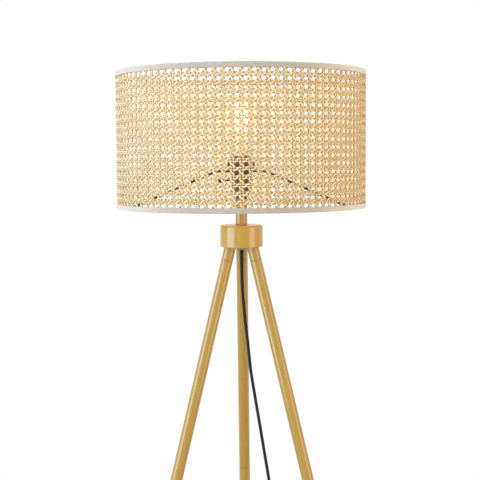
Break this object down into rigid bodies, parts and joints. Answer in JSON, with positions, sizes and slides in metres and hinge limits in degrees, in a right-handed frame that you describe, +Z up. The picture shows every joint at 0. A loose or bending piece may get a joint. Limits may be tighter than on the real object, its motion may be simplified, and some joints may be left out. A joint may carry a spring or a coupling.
{
  "type": "floor lamp",
  "caption": "Tripod floor lamp: painted tube legs, a round hub and short stem, a turn-knob lampholder with its bulb, and a drum shade of open cane weave between taped rims.",
  "frame": {"origin": "on the floor, under the middle of the lamp's box with its free cord left aside", "axes": "+Z up along the stem, +Y towards the rear leg, +X to the right as seen from the front"},
  "size_m": [0.6196, 0.5596, 1.4741],
  "materials": {
    "ochre_paint": "satin",
    "plain_steel": "zinc plated",
    "black_rubber": "matte",
    "black_phenolic": "moulded gloss",
    "black_wire": "satin",
    "woven_cane": "natural cane",
    "linen_tape": "woven tape",
    "black_vinyl": "soft matte",
    "brass": "plain",
    "aluminium": "pressed",
    "frosted_glass": "frosted, lit",
    "black_glass": "gloss"
  },
  "bodies": {
    "stand": {"hub_shell": "ochre_paint", "hub_base_plate": "ochre_paint", "leg_stub_rear": "ochre_paint", "leg_stub_left": "ochre_paint", "leg_stub_right": "ochre_paint", "leg_upper_rear": "ochre_paint", "leg_middle_rear": "ochre_paint", "leg_lower_rear": "ochre_paint", "leg_upper_left": "ochre_paint", "leg_middle_left": "ochre_paint", "leg_lower_left": "ochre_paint", "leg_upper_right": "ochre_paint", "leg_middle_right": "ochre_paint", "leg_lower_right": "ochre_paint", "stem_tube": "ochre_paint", "rod_nut": "ochre_paint", "leg_stud_upper_rear": "plain_steel", "leg_stud_middle_rear": "plain_steel", "leg_stud_lower_rear": "plain_steel", "leg_stud_upper_left": "plain_steel", "leg_stud_middle_left": "plain_steel", "leg_stud_lower_left": "plain_steel", "leg_stud_upper_right": "plain_steel", "leg_stud_middle_right": "plain_steel", "leg_stud_lower_right": "plain_steel", "threaded_rod": "plain_steel", "foot_rear": "black_rubber", "foot_left": "black_rubber", "foot_right": "black_rubber", "socket_cap": "black_phenolic", "socket_body": "black_phenolic", "clamp_ring": "black_phenolic", "cord_bushing": "black_phenolic", "rod_washer": "black_wire", "inner_lead": "black_vinyl", "cord_drop": "black_vinyl", "cord_coil": "black_vinyl", "cord_lead": "black_vinyl", "cord_tie": "black_vinyl", "plug_body": "black_vinyl", "socket_contact": "brass", "plug_blade_left": "brass", "plug_blade_right": "brass", "socket_screw_shell": "aluminium"},
    "shade": {"fitter_ring": "black_wire", "fitter_arm_rear": "black_wire", "fitter_arm_left": "black_wire", "fitter_arm_right": "black_wire", "bottom_rim_wire": "black_wire", "top_rim_wire": "black_wire", "cane_panel": "woven_cane", "top_rim_tape": "linen_tape", "bottom_rim_tape": "linen_tape"},
    "knob": {"switch_shaft": "black_phenolic", "switch_knob": "black_phenolic"},
    "bulb_carrier": {"bulb_contact": "black_glass"},
    "bulb": {"bulb_glass": "frosted_glass", "bulb_base": "aluminium"}
  },
  "joints": [
    {"name": "shade_turn", "type": "hinge", "parent": "stand", "child": "shade", "pos_m": [0, -0.07639, 1.316], "axis": [0, 0, 1], "continuous": true},
    {"name": "knob_turn", "type": "hinge", "parent": "stand", "child": "knob", "pos_m": [-0.03, -0.07639, 1.29856], "axis": [-1, 0, 0], "continuous": true},
    {"name": "bulb_rise", "type": "slide", "parent": "stand", "child": "bulb_carrier", "axis": [0, 0, 1], "range_m": [0, 0.01815]},
    {"name": "bulb_turn", "type": "hinge", "parent": "bulb_carrier", "child": "bulb", "pos_m": [0, -0.07639, 1.33], "axis": [0, 0, 1], "range_deg": [0, 1800]}
  ],
  "couplings": [
    {"joint": "bulb_rise", "follows": "bulb_turn", "m_per_rad": 0.0005776}
  ]
}
